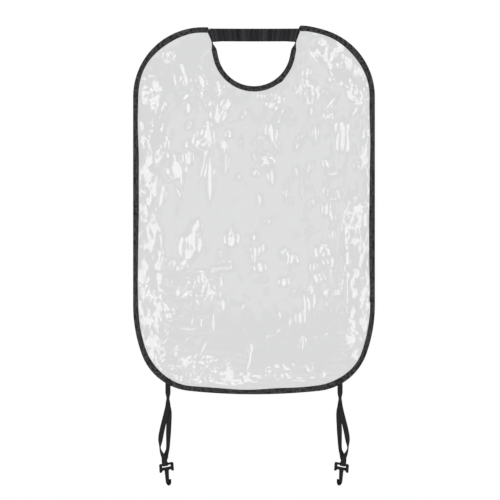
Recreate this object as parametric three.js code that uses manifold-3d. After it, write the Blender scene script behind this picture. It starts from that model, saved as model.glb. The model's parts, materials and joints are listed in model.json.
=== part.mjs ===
// Clear seat-back protector, apron shaped: a clear film panel with a round neck cut, woven binding
// all round, an elastic strap across the neck cut, and an elastic loop with a plastic hook at each
// lower corner. Millimetres, +Z up. The panel hangs upright and faces -Y. The origin is the middle
// of the rear face of the neck strap, where the strap bears on what it hangs from.
import * as THREE from 'three';
import { mergeVertices } from 'three/addons/utils/BufferGeometryUtils.js';
import Module from 'manifold-3d';

// ---------------------------------------------------------------- driving dimensions
// Panel outline, measured on the outer edge of the binding.
const panelWidth = 472;
const panelHeight = 716.5;
const hornAboveStrap = 3;          // top of the panel above the top edge of the neck strap
const shoulderRadius = 136;
const sideTaperRadius = 280;       // the side leans in on this radius above each lower corner
const cornerRadius = 110;
const bottomRadius = 1200;         // the shallow sweep of the bottom edge
const cornerStartHeight = 174;     // where the side starts to lean in, above the lowest point

// Neck cut, measured on the same edge.
const neckRadius = 71;
const neckDepth = 115;             // from the top of the panel to the bottom of the cut
const flankLean = 12;              // degrees each straight flank leans outwards
const hornLean = 30;               // and the last stretch up to the horn's tip
const hornHeight = 22.5;           // of that last stretch

// Film, binding and thread.
const filmThickness = 0.5;
const bindingWidth = 10;
const bindingThickness = 0.5;      // one layer of tape
const threadInset = 7.5;           // stitch line, from the outer edge
const threadWidth = 0.8;
const threadThickness = 0.3;
const gap = 0.3;                   // kept between pieces that lie on each other

// Neck strap.
const strapWidth = 25;
const strapThickness = 1.3;
const strapMiddleLength = 60;      // the stretch that moves as one when the strap is pulled
const strapLap = 5.9;              // how far the strap laps onto the neck binding
const tackWidth = 1.6;
const tackMargin = 2;              // from a tape's edges to its tack
const strapTackInset = 2.2;

// Elastic loops and their places.
const loopSpacing = 335.4;         // between the roots of the two loops
const tapeWidth = 10;
const tapeThickness = 1;
const loopEndHeight = 14.5;        // the stitched-down ends of one loop
const loopTackDrop = 5;            // from the top of the stitched-down ends to the tack
const waistWidth = 5;              // the tape seen edge-on where it turns over
const waistDrop = 22;              // from the root pivot to the pivot at the waist
const hookDrop = 128.6;            // from the waist pivot to the hook's bar
const hookOutset = 3.3;            // the bar hangs this much further out than the root
const bightClearance = 1.6;        // from the bight's top to the strands
// Each strand's middle as [out from the root, drop below the waist, share of the tape's width
// that shows from the front]. The outer strand turns edge-on near its lower end.
const outerStrandRoute = [[2.8, 28, 1], [10.3, 59.8, 1], [13.5, 76.8, 1], [15, 95.4, 0.3], [11.6, 107, 0.65]];
const innerStrandRoute = [[-1.8, 28, 1], [-0.8, 59.8, 1], [-0.3, 76.8, 0.9], [0.4, 96.3, 0.75]];

// Hook.
const barThickness = 4.2;          // top bar, up and down
const slotRoom = 8.6;              // how much wider the slot is than the tape in it
const legWidth = 5.6;              // each side of the slot
const slotHeight = 3.7;
const lowerBarHeight = 5.6;
const hornDrop = 4;                // end legs below the lower bar
const stemWidth = 8.2;
const stemTipWidth = 6.4;
const stemLength = 29.6;           // below the lower bar, to the outside of the bend
const plateThickness = 2.8;
const throatGap = 7.4;
const lipHeight = 13;              // from the outside of the bend to the lip's top
const bightWall = 1.1;
const bightPlay = 0.15;            // between the bight and the bar's corners
const bightStraight = 4;
const hookPitch = -24;             // degrees at rest: the tips lean forwards
const hookYaw = 18;                // and each hook is turned
const hookRoll = 6;                // and tilted, outer end low

const arcSegments = 6;

// ---------------------------------------------------------------- worked out from them
const rad = THREE.MathUtils.degToRad;
const halfWidth = panelWidth / 2;
const topZ = strapWidth / 2 + hornAboveStrap;
const bottomZ = topZ - panelHeight;
const bindingFold = 2 * (bindingThickness + gap) + filmThickness;
const bindingFrontY = gap + threadThickness + gap;
const filmY = bindingFrontY + bindingFold / 2;
const bindingRearY = bindingFrontY + bindingFold;
const neckCentreZ = topZ - neckDepth + neckRadius;
const stackThickness = 2 * tapeThickness + gap;

// ---------------------------------------------------------------- solids
const wasm = await Module();
wasm.setup();

function toSolid(geometry) {
  const bare = geometry.clone();
  bare.deleteAttribute('normal');
  bare.deleteAttribute('uv');
  const merged = mergeVertices(bare, 1e-5);
  return new wasm.Manifold(new wasm.Mesh({
    numProp: 3,
    vertProperties: new Float32Array(merged.attributes.position.array),
    triVerts: new Uint32Array(merged.index.array),
  }));
}

function toGeometry(solid) {
  const mesh = solid.getMesh();
  const geometry = new THREE.BufferGeometry();
  geometry.setAttribute('position', new THREE.BufferAttribute(new Float32Array(mesh.vertProperties), 3));
  geometry.setIndex(new THREE.BufferAttribute(new Uint32Array(mesh.triVerts), 1));
  geometry.computeVertexNormals();
  return geometry;
}

// A shape drawn in X and Z, from y0 to y1.
function frontSolid(shape, y0, y1) {
  const geometry = new THREE.ExtrudeGeometry(shape, {
    depth: y1 - y0, bevelEnabled: false, curveSegments: arcSegments,
  });
  geometry.rotateX(Math.PI / 2);
  geometry.translate(0, y1, 0);
  return toSolid(geometry);
}

// A shape drawn in Y and Z, as wide as width about x = 0.
function sideSolid(shape, width) {
  const geometry = new THREE.ExtrudeGeometry(shape, {
    depth: width, bevelEnabled: false, curveSegments: arcSegments,
  });
  const turn = new THREE.Matrix4().makeBasis(
    new THREE.Vector3(0, 1, 0), new THREE.Vector3(0, 0, 1), new THREE.Vector3(1, 0, 0));
  geometry.applyMatrix4(turn);
  geometry.translate(-width / 2, 0, 0);
  return toSolid(geometry);
}

function boxSolid(x0, x1, y0, y1, z0, z1) {
  const geometry = new THREE.BoxGeometry(x1 - x0, y1 - y0, z1 - z0);
  geometry.translate((x0 + x1) / 2, (y0 + y1) / 2, (z0 + z1) / 2);
  return toSolid(geometry);
}

function polygon(points) {
  return new THREE.Shape(points.map(([x, z]) => new THREE.Vector2(x, z)));
}

// ---------------------------------------------------------------- panel outline
// Centres of the arcs of the right half. The corner arc touches the side's arc and the bottom's.
const shoulderCentre = new THREE.Vector2(halfWidth - shoulderRadius, topZ - shoulderRadius);
const taperCentre = new THREE.Vector2(halfWidth - sideTaperRadius, bottomZ + cornerStartHeight);
const bottomCentre = new THREE.Vector2(0, bottomZ + bottomRadius);

function touchingCentre(a, radiusA, b, radiusB, radius) {
  const reachA = radiusA - radius;
  const reachB = radiusB - radius;
  const span = a.distanceTo(b);
  const along = (reachA ** 2 - reachB ** 2 + span ** 2) / (2 * span);
  const aside = Math.sqrt(reachA ** 2 - along ** 2);
  const unit = b.clone().sub(a).divideScalar(span);
  const foot = a.clone().addScaledVector(unit, along);
  const sideways = new THREE.Vector2(unit.y, -unit.x);
  const near = foot.clone().addScaledVector(sideways, aside);
  const far = foot.clone().addScaledVector(sideways, -aside);
  return near.x > far.x ? near : far;
}

const cornerCentre = touchingCentre(
  taperCentre, sideTaperRadius, bottomCentre, bottomRadius, cornerRadius);
const taperEndAngle = cornerCentre.clone().sub(taperCentre).angle() - 2 * Math.PI;
const cornerEndAngle = cornerCentre.clone().sub(bottomCentre).angle() - 2 * Math.PI;

// X of the neck cut's straight flank at height z, for the outline moved outwards by inset.
function flankX(z, inset) {
  const lean = rad(flankLean);
  const radius = neckRadius + inset;
  const touchX = radius * Math.cos(lean);
  const touchZ = neckCentreZ - radius * Math.sin(lean);
  return touchX + (z - touchZ) * Math.tan(lean);
}

// Where the flank bends out towards the horn's tip, moved outwards by inset.
function flankKnee(inset) {
  const middle = rad(flankLean + hornLean) / 2;
  const reach = inset / Math.cos(rad(hornLean - flankLean) / 2);
  const kneeZ = topZ - hornHeight;
  return new THREE.Vector2(
    flankX(kneeZ, 0) + reach * Math.cos(middle), kneeZ - reach * Math.sin(middle));
}

function hornTipX(z, inset) {
  const knee = flankKnee(inset);
  return knee.x + (z - knee.y) * Math.tan(rad(hornLean));
}

// The whole outline, moved into the material by inset.
function panelShape(inset) {
  const top = topZ - inset;
  const lean = rad(flankLean);
  const knee = flankKnee(inset);
  const shape = new THREE.Shape();
  shape.moveTo(hornTipX(top, inset), top);
  shape.lineTo(shoulderCentre.x, top);
  shape.absarc(shoulderCentre.x, shoulderCentre.y, shoulderRadius - inset, Math.PI / 2, 0, true);
  shape.absarc(taperCentre.x, taperCentre.y, sideTaperRadius - inset, 0, taperEndAngle, true);
  shape.absarc(cornerCentre.x, cornerCentre.y, cornerRadius - inset, taperEndAngle, cornerEndAngle, true);
  shape.absarc(0, bottomCentre.y, bottomRadius - inset, cornerEndAngle, -Math.PI - cornerEndAngle, true);
  shape.absarc(-cornerCentre.x, cornerCentre.y, cornerRadius - inset,
    -Math.PI - cornerEndAngle, -Math.PI - taperEndAngle, true);
  shape.absarc(-taperCentre.x, taperCentre.y, sideTaperRadius - inset,
    -Math.PI - taperEndAngle, -Math.PI, true);
  shape.absarc(-shoulderCentre.x, shoulderCentre.y, shoulderRadius - inset, Math.PI, Math.PI / 2, true);
  shape.lineTo(-hornTipX(top, inset), top);
  shape.lineTo(-knee.x, knee.y);
  shape.absarc(0, neckCentreZ, neckRadius + inset, Math.PI + lean, 2 * Math.PI - lean, false);
  shape.lineTo(knee.x, knee.y);
  shape.closePath();
  return shape;
}

// The neck cut alone, grown by grow, up to the height top.
function neckShape(grow, top) {
  const lean = rad(flankLean);
  const knee = flankKnee(grow);
  const shape = new THREE.Shape();
  shape.moveTo(hornTipX(top, grow), top);
  shape.lineTo(-hornTipX(top, grow), top);
  shape.lineTo(-knee.x, knee.y);
  shape.absarc(0, neckCentreZ, neckRadius + grow, Math.PI + lean, 2 * Math.PI - lean, false);
  shape.lineTo(knee.x, knee.y);
  shape.closePath();
  return shape;
}

// Z of the outer edge at x, on the corner arc under a loop.
function lowerEdgeZ(x) {
  return cornerCentre.y - Math.sqrt(cornerRadius ** 2 - (x - cornerCentre.x) ** 2);
}

// ---------------------------------------------------------------- film, binding, thread
const clearance = 5;               // how far a cutter runs past what it cuts
const neckCutGrow = bindingWidth + clearance;

// A band that follows the outline between two insets, from y0 to y1.
function bandSolid(outerInset, innerInset, y0, y1) {
  return frontSolid(panelShape(outerInset), y0, y1)
    .subtract(frontSolid(panelShape(innerInset), y0 - clearance, y1 + clearance));
}

// Two lengths of tape share the edge: one round the outside, and one in the neck cut that stops
// short of it under each horn.
function splitAtHorns(ring) {
  const y0 = -clearance;
  const y1 = bindingRearY + clearance;
  const outerCut = frontSolid(neckShape(neckCutGrow, topZ - bindingWidth), y0, y1);
  const neckCut = frontSolid(neckShape(neckCutGrow, topZ - bindingWidth - gap), y0, y1);
  return { outer: ring.subtract(outerCut), neck: ring.intersect(neckCut) };
}

function makeFilm() {
  return frontSolid(panelShape(bindingThickness + gap),
    filmY - filmThickness / 2, filmY + filmThickness / 2);
}

function makeBindings() {
  const slot = frontSolid(panelShape(bindingThickness),
    bindingFrontY + bindingThickness, bindingRearY - bindingThickness);
  return splitAtHorns(bandSolid(0, bindingWidth, bindingFrontY, bindingRearY).subtract(slot));
}

function makeThreads(y0) {
  const outer = threadInset - threadWidth / 2;
  return splitAtHorns(bandSolid(outer, outer + threadWidth, y0, y0 + threadThickness));
}

// ---------------------------------------------------------------- neck strap
// Each end is cut along the neck cut's flank, where it laps onto the binding.
function makeStrapSide(side) {
  const half = strapWidth / 2;
  const inner = strapMiddleLength / 2 + gap;
  return frontSolid(polygon([
    [side * inner, half],
    [side * flankX(half, strapLap), half],
    [side * flankX(-half, strapLap), -half],
    [side * inner, -half],
  ]), -strapThickness, 0);
}

function makeStrapMiddle() {
  const half = strapMiddleLength / 2;
  return boxSolid(-half, half, -strapThickness, 0, -strapWidth / 2, strapWidth / 2);
}

function makeStrapTack(side) {
  const half = strapWidth / 2 - tackMargin;
  const near = strapLap - strapTackInset;
  const far = near - tackWidth;
  const front = -strapThickness - gap;
  return frontSolid(polygon([
    [side * flankX(half, far), half],
    [side * flankX(half, near), half],
    [side * flankX(-half, near), -half],
    [side * flankX(-half, far), -half],
  ]), front - threadThickness, front);
}

// ---------------------------------------------------------------- elastic loops
// Each loop's frame has its origin at the root pivot: x outwards, z up, the tape's front at the
// strap's depth. The binding's edge slopes across the tape, so the pivot lies under its low side.
const rootX = loopSpacing / 2;
const pivotRadius = stackThickness / 2;
const rootPivotZ = lowerEdgeZ(rootX - tapeWidth / 2) - pivotRadius - 2 * gap;
const stackY = -pivotRadius;
const waistRadius = waistWidth / 2;
const bightHalf = Math.hypot(barThickness, plateThickness) / 2 + bightPlay;
const bightTop = bightStraight + bightHalf + bightWall;
const slotWidth = tapeWidth + slotRoom;
const hookWidth = slotWidth + 2 * legWidth;

function makeLoopEnd() {
  const bottom = pivotRadius + gap;
  return boxSolid(-tapeWidth / 2, tapeWidth / 2, -stackThickness, 0, bottom, bottom + loopEndHeight);
}

function makeLoopTack() {
  const half = tapeWidth / 2 - tackMargin / 2;
  const top = pivotRadius + gap + loopEndHeight - loopTackDrop;
  const front = -stackThickness - gap;
  return boxSolid(-half, half, front - threadThickness, front, top - tackWidth, top);
}

// Both layers of tape from the root to the waist, round about the root pivot seen from the side.
function makeLoopNeck() {
  const bottom = -waistDrop + waistRadius + gap;
  const front = frontSolid(polygon([
    [-tapeWidth / 2, pivotRadius], [tapeWidth / 2, pivotRadius],
    [tapeWidth / 2, -waistDrop / 3], [waistRadius, bottom],
    [-waistRadius, bottom], [-tapeWidth / 2, -waistDrop / 3],
  ]), -stackThickness, 0);
  const side = new THREE.Shape();
  side.moveTo(-stackThickness, bottom);
  side.lineTo(0, bottom);
  side.absarc(stackY, 0, pivotRadius, 0, Math.PI, false);
  side.closePath();
  return front.intersect(sideSolid(side, 2 * tapeWidth));
}

// One strand from the waist to the hook, as a flat band, with a round end about the waist pivot.
function makeStrand(side, route, y0) {
  const endZ = -hookDrop + bightTop + bightClearance;
  const stations = [
    [0, 0, waistWidth],
    ...route.map(([out, drop, share]) => [out, -drop, share * tapeWidth]),
    [hookOutset, endZ, waistWidth],
  ];
  const edge = (sign) => stations.map(([x, z, width]) => [side * (x + sign * width / 2), z]);
  const outer = edge(1);
  const inner = edge(-1).reverse();
  const shape = new THREE.Shape();
  shape.moveTo(...outer[0]);
  outer.slice(1).forEach((point) => shape.lineTo(...point));
  inner.forEach((point) => shape.lineTo(...point));
  shape.absarc(0, 0, waistRadius, side > 0 ? Math.PI : 0, side > 0 ? 0 : Math.PI, side > 0);
  return frontSolid(shape, y0, y0 + tapeThickness);
}

// The bight is the turn of the tape round the hook's top bar, through the slot.
function raceTrack(radius, straight) {
  const shape = new THREE.Shape();
  shape.absarc(0, 0, radius, Math.PI, 2 * Math.PI, false);
  shape.absarc(0, straight, radius, 0, Math.PI, false);
  shape.closePath();
  return shape;
}

function makeBight() {
  return sideSolid(raceTrack(bightHalf + bightWall, bightStraight), tapeWidth)
    .subtract(sideSolid(raceTrack(bightHalf, bightStraight), tapeWidth + clearance));
}

// ---------------------------------------------------------------- hooks
// The hook's frame has its origin on the axis of the top bar. Its front outline and its side
// outline are drawn apart, and the hook is what lies in both, less the slot.
function makeHook() {
  const half = barThickness / 2;
  const halfHook = hookWidth / 2;
  const slotBottom = -half - slotHeight;
  const barBottom = slotBottom - lowerBarHeight;
  const legBottom = barBottom - hornDrop;
  const tipZ = barBottom - stemLength;
  const chamfer = 1.6;
  const front = polygon([
    [-halfHook + chamfer, half], [halfHook - chamfer, half], [halfHook, half - chamfer],
    [halfHook, legBottom + chamfer], [halfHook - chamfer, legBottom],
    [halfHook - legWidth + chamfer, legBottom + 1], [halfHook - legWidth - 1, barBottom],
    [stemWidth / 2 + 1, barBottom], [stemWidth / 2, barBottom - 1.5],
    [stemTipWidth / 2, tipZ + 6], [stemTipWidth / 4, tipZ],
    [-stemTipWidth / 4, tipZ], [-stemTipWidth / 2, tipZ + 6],
    [-stemWidth / 2, barBottom - 1.5], [-stemWidth / 2 - 1, barBottom],
    [-halfHook + legWidth + 1, barBottom], [-halfHook + legWidth - chamfer, legBottom + 1],
    [-halfHook + chamfer, legBottom], [-halfHook, legBottom + chamfer], [-halfHook, half - chamfer],
  ]);
  const plateBack = plateThickness / 2;
  const bendCentreY = plateBack + throatGap / 2;
  const bendCentreZ = tipZ + plateThickness + throatGap / 2;
  const bendOuter = throatGap / 2 + plateThickness;
  const lipTop = tipZ + lipHeight;
  const side = new THREE.Shape();
  side.moveTo(plateBack, half);
  side.lineTo(-plateBack, half);
  side.absarc(bendCentreY, bendCentreZ, bendOuter, Math.PI, 2 * Math.PI, false);
  side.lineTo(bendCentreY + bendOuter, lipTop);
  side.lineTo(bendCentreY + throatGap / 2, lipTop);
  side.absarc(bendCentreY, bendCentreZ, throatGap / 2, 0, -Math.PI, true);
  side.closePath();
  const slot = boxSolid(-slotWidth / 2, slotWidth / 2, -bendOuter, bendOuter, slotBottom, -half);
  return frontSolid(front, -plateBack - clearance, bendCentreY + bendOuter + clearance)
    .intersect(sideSolid(side, hookWidth + clearance))
    .subtract(slot);
}

// ---------------------------------------------------------------- finishes
const film = { color: 0xdcdddd, roughness: 0.15, metalness: 0, transparent: true, opacity: 0.35 };
const wovenTape = { color: 0x323232, roughness: 0.85, metalness: 0 };
const elastic = { color: 0x262626, roughness: 0.8, metalness: 0 };
const thread = { color: 0x1e1e1e, roughness: 0.7, metalness: 0 };
const mouldedPlastic = { color: 0x141414, roughness: 0.35, metalness: 0 };

function addPiece(parent, name, solid, finish) {
  const mesh = new THREE.Mesh(toGeometry(solid), new THREE.MeshStandardMaterial(finish));
  mesh.name = name;
  parent.add(mesh);
  return mesh;
}

// ---------------------------------------------------------------- assembly
const protector = new THREE.Group();

function addPanel() {
  addPiece(protector, 'clear_panel', makeFilm(), film);
  const bindings = makeBindings();
  addPiece(protector, 'outer_binding', bindings.outer, wovenTape);
  addPiece(protector, 'neck_binding', bindings.neck, wovenTape);
  const needle = makeThreads(gap);
  addPiece(protector, 'outer_needle_thread', needle.outer, thread);
  addPiece(protector, 'neck_needle_thread', needle.neck, thread);
  const bobbin = makeThreads(bindingRearY + gap);
  addPiece(protector, 'outer_bobbin_thread', bobbin.outer, thread);
  addPiece(protector, 'neck_bobbin_thread', bobbin.neck, thread);
}

function addStrap() {
  addPiece(protector, 'neck_strap_middle', makeStrapMiddle(), elastic);
  for (const [name, side] of [['left', -1], ['right', 1]]) {
    addPiece(protector, `neck_strap_${name}`, makeStrapSide(side), elastic);
    addPiece(protector, `${name}_strap_tack`, makeStrapTack(side), thread);
  }
}

function addLoop(name, side) {
  const root = new THREE.Group();
  root.position.set(side * rootX, 0, rootPivotZ);
  protector.add(root);
  addPiece(root, `${name}_loop_end`, makeLoopEnd(), elastic);
  addPiece(root, `${name}_loop_tack`, makeLoopTack(), thread);
  addPiece(root, `${name}_loop_neck`, makeLoopNeck(), elastic);

  const waist = new THREE.Group();
  waist.position.set(0, 0, -waistDrop);
  root.add(waist);
  addPiece(waist, `${name}_loop_outer_strand`, makeStrand(side, outerStrandRoute, -stackThickness), elastic);
  addPiece(waist, `${name}_loop_inner_strand`, makeStrand(side, innerStrandRoute, -tapeThickness), elastic);

  const bar = new THREE.Group();
  bar.position.set(side * hookOutset, stackY, -hookDrop);
  bar.rotation.set(rad(hookPitch), side * rad(hookRoll), side * rad(hookYaw), 'YXZ');
  waist.add(bar);
  addPiece(bar, `${name}_hook`, makeHook(), mouldedPlastic);
  const bight = addPiece(bar, `${name}_loop_bight`, makeBight(), elastic);
  bight.rotation.x = -rad(hookPitch);
}

addPanel();
addStrap();
addLoop('left', -1);
addLoop('right', 1);

export default protector;
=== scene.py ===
"""Clear seat-back protector: film, woven binding, elastic neck strap and two elastic loops with hooks."""

import json
import math

import bmesh
import bpy
import numpy as np
from bpy.props import FloatProperty, FloatVectorProperty, IntProperty, PointerProperty
from mathutils import Matrix, Vector
from mathutils.kdtree import KDTree

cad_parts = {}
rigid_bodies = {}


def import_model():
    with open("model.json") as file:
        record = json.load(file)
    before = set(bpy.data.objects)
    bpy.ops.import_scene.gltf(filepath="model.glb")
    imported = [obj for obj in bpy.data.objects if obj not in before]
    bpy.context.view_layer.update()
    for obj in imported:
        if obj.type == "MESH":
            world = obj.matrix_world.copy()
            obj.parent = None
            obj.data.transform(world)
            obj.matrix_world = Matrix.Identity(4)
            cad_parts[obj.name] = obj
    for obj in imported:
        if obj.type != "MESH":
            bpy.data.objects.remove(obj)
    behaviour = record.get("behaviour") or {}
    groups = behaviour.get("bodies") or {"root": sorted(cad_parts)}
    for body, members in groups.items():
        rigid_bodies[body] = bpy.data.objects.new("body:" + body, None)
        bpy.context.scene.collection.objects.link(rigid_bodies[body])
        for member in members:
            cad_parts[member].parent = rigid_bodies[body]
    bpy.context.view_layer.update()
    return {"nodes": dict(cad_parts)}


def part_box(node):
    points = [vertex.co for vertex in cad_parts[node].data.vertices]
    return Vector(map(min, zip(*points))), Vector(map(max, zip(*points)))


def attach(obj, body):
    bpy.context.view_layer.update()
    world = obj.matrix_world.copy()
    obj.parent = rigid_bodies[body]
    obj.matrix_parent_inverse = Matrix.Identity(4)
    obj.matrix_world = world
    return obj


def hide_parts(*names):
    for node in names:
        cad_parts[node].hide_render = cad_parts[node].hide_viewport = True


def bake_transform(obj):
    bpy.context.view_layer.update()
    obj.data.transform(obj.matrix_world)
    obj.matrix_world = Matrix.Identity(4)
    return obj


bl_info = {
    "name": "Clear seat-back protector",
    "version": (1, 0, 0),
    "blender": (4, 5, 0),
    "location": "View3D > Sidebar > Protector",
    "description": "Builds the film, tapes, stitching, elastic and hooks of a clear seat-back protector",
    "category": "Object",
}

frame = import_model()

# All shapes below are worked out in millimetres and made in metres.
MM = 0.001

# ---------------------------------------------------------------- sizes that the frame fixes, mm
HALF_WIDTH = 236
TOP_Z = 15.5
BOTTOM_Z = -701
SHOULDER_RADIUS = 136
SIDE_TAPER_RADIUS = 280
CORNER_RADIUS = 110
BOTTOM_RADIUS = 1200
CORNER_START_HEIGHT = 174
NECK_RADIUS = 71
NECK_DEPTH = 115
FLANK_LEAN = math.radians(12)
HORN_LEAN = math.radians(30)
HORN_HEIGHT = 22.5
TAPE_GAP = 0.3
BINDING_WIDTH = 10
BINDING_FRONT_Y = 0.9
FILM_Y = 1.95
BINDING_REAR_Y = 3.0
FILM_INSET = 0.8
THREAD_INSET = 7.5
STRAP_HALF_HEIGHT = 12.5
STRAP_THICKNESS = 1.3
STRAP_LAP = 5.9
ROOT_X = 167.7
LOOP_TAPE_WIDTH = 10
LOOP_TAPE_THICKNESS = 1.0
STACK_Y = -1.15
WAIST_DROP = 22
HOOK_DROP = 128.6
HOOK_OUTSET = 3.3
LOOP_END_HEIGHT = 14.5
LOOP_TACK_DROP = 5
HOOK_TURN = (math.radians(-24), math.radians(6), math.radians(18))
BIGHT_SHIFT = 2.4

# How the sewn panel is drawn out of its cut shape, mm.
HORN_LIFT = 3.2
HORN_LIFT_X = 94
HORN_LIFT_REACH = 24
NECK_PULL = 4.8
NECK_NARROWING = 3.3
HORN_NARROWING = 1.7
# The film crumples away from this x on both sides, mm.
CRUMPLE_MIDDLE = 60

NECK_CENTRE_Z = TOP_Z - NECK_DEPTH + NECK_RADIUS


def smooth_step(x):
    """Rises from 0 to 1 while x does, level at both ends."""
    x = np.clip(x, 0, 1)
    return x * x * (3 - 2 * x)


def shares(length, step):
    """Shares from 0 to 1 that cut a run of that length into steps."""
    return np.linspace(0, 1, max(2, int(round(length / step)) + 1))


# ---------------------------------------------------------------- panel outline
TAPER_CENTRE = np.array([HALF_WIDTH - SIDE_TAPER_RADIUS, BOTTOM_Z + CORNER_START_HEIGHT])
BOTTOM_CENTRE = np.array([0, BOTTOM_Z + BOTTOM_RADIUS])
SHOULDER_CENTRE = np.array([HALF_WIDTH - SHOULDER_RADIUS, TOP_Z - SHOULDER_RADIUS])


def corner_centre():
    """Centre of the lower corner's arc, which touches the side's arc and the bottom's."""
    a, b = TAPER_CENTRE, BOTTOM_CENTRE
    reach_a, reach_b = SIDE_TAPER_RADIUS - CORNER_RADIUS, BOTTOM_RADIUS - CORNER_RADIUS
    span = np.linalg.norm(b - a)
    along = (reach_a**2 - reach_b**2 + span**2) / (2 * span)
    aside = math.sqrt(reach_a**2 - along**2)
    unit = (b - a) / span
    foot = a + unit * along
    sideways = np.array([unit[1], -unit[0]]) * aside
    return max(foot + sideways, foot - sideways, key=lambda p: p[0])


def arc_points(centre, radius, start, end, step):
    """Points on an arc between two angles, as radius changes with the inset."""
    turn = start + (end - start) * shares(abs(end - start) * radius, step)
    return lambda grown: np.stack(
        [centre[0] + (radius + grown) * np.cos(turn), centre[1] + (radius + grown) * np.sin(turn)], 1
    )


def line_points(start, end, step):
    """Points between two ends, each a function of the inset."""
    a, b = np.array(start(0)), np.array(end(0))
    share = shares(np.linalg.norm(b - a), step)[:, None]
    return lambda v: np.array(start(v)) * (1 - share) + np.array(end(v)) * share


def flank_knee(inset):
    """Where the neck cut's straight side turns out into the horn."""
    middle = (FLANK_LEAN + HORN_LEAN) / 2
    reach = inset / math.cos((HORN_LEAN - FLANK_LEAN) / 2)
    knee_z = TOP_Z - HORN_HEIGHT
    return flank_x(knee_z, 0) + reach * math.cos(middle), knee_z - reach * math.sin(middle)


def flank_x(z, inset):
    """Half the neck cut's width at that height, on its straight side."""
    radius = NECK_RADIUS + inset
    touch_z = NECK_CENTRE_Z - radius * math.sin(FLANK_LEAN)
    return radius * math.cos(FLANK_LEAN) + (z - touch_z) * math.tan(FLANK_LEAN)


def horn_tip(z, inset):
    """The point at that height on the horn's inner side."""
    x, knee_z = flank_knee(inset)
    return x + (z - knee_z) * math.tan(HORN_LEAN), z


def joined(runs, insets):
    """One path for each inset, from runs that meet end to end. Shape: stations, insets, 2."""
    paths = []
    for v in insets:
        parts = [run(v) for run in runs]
        path = np.concatenate([parts[0]] + [p[1:] for p in parts[1:]])
        left = path[:0:-1] * [-1, 1]
        paths.append(np.concatenate([left, path]))
    return np.stack(paths, 1)


def outer_paths(insets, step, horn_inset=0):
    """The outer edge from the left horn round the bottom to the right horn."""
    corner = corner_centre()
    low = math.atan2(*(corner - BOTTOM_CENTRE)[::-1])
    high = math.atan2(*(corner - TAPER_CENTRE)[::-1])
    runs = [
        inwards(arc_points(BOTTOM_CENTRE, BOTTOM_RADIUS, -math.pi / 2, low, step)),
        inwards(arc_points(corner, CORNER_RADIUS, low, high, step)),
        inwards(arc_points(TAPER_CENTRE, SIDE_TAPER_RADIUS, high, 0, step)),
        line_points(
            lambda v: (HALF_WIDTH - v, TAPER_CENTRE[1]), lambda v: (HALF_WIDTH - v, SHOULDER_CENTRE[1]), step
        ),
        inwards(arc_points(SHOULDER_CENTRE, SHOULDER_RADIUS, 0, math.pi / 2, step)),
        line_points(
            lambda v: (SHOULDER_CENTRE[0], TOP_Z - v), lambda v: horn_tip(TOP_Z - v, horn_inset), step
        ),
    ]
    return joined(runs, insets)


def inwards(run):
    """The same run with its inset measured towards the arc's centre."""
    return lambda v: run(-v)


def neck_paths(insets, step, end_z):
    """The neck cut's edge from the left horn down and up to the right horn."""
    touch = -FLANK_LEAN
    centre = (0, NECK_CENTRE_Z)

    def touch_point(v):
        radius = NECK_RADIUS + v
        return radius * math.cos(touch), NECK_CENTRE_Z + radius * math.sin(touch)

    runs = [
        arc_points(centre, NECK_RADIUS, -math.pi / 2, touch, step),
        line_points(touch_point, flank_knee, step),
        line_points(flank_knee, lambda v: horn_tip(end_z(v), v), step),
    ]
    return joined(runs, insets)


def horn_lift(x, z):
    """How much higher the right horn stands than the left, in mm."""
    beside = np.exp(-(((x - HORN_LIFT_X) / HORN_LIFT_REACH) ** 2))
    return HORN_LIFT * beside * smooth_step((z + 12) / 20)


def neck_pull(z, inset):
    """How far the strap pulls the neck tape away from the opening near its ends, and how it narrows it."""
    near = smooth_step((z + 29) / 16)
    at_edge = NECK_PULL * near * (1 - smooth_step((z + 13) / 14))
    at_film = -NECK_NARROWING * near - HORN_NARROWING * smooth_step((z + 10) / 18)
    inner = np.clip(inset / BINDING_WIDTH, 0, 1)
    return at_edge * (1 - inner) + at_film * inner


def film_outline(step):
    """The film's cut edge as one closed ring of points."""
    outer = outer_paths([FILM_INSET], step, FILM_INSET)[:, 0]
    neck = neck_paths([FILM_INSET], step, lambda v: TOP_Z - v)[:, 0]
    neck[:, 0] += np.sign(neck[:, 0]) * neck_pull(neck[:, 1], 0)
    ring = np.concatenate([outer, neck[::-1][1:-1]])
    ring[:, 1] += horn_lift(ring[:, 0], ring[:, 1])
    return ring


def run_lengths(path):
    return np.concatenate([[0], np.cumsum(np.linalg.norm(np.diff(path, axis=0), axis=1))])


# ---------------------------------------------------------------- meshes
def add_object(name, data):
    obj = bpy.data.objects.new(name, data)
    bpy.context.scene.collection.objects.link(obj)
    return obj


def make_object(name, points, faces, material, uvs=None):
    """A mesh object from points in mm. uvs holds one pair of metres for each corner of each face."""
    mesh = bpy.data.meshes.new(name)
    mesh.from_pydata((np.asarray(points) * MM).tolist(), [], faces)
    mesh.materials.append(material)
    if uvs is not None:
        layer = mesh.uv_layers.new(name="along_and_across")
        layer.data.foreach_set("uv", np.asarray(uvs, np.float32).ravel())
    mesh.polygons.foreach_set("use_smooth", [True] * len(mesh.polygons))
    mesh.update()
    return add_object(name, mesh)


def face_outwards(obj):
    bm = bmesh.new()
    bm.from_mesh(obj.data)
    bmesh.ops.recalc_face_normals(bm, faces=bm.faces)
    bm.to_mesh(obj.data)
    bm.free()


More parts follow.
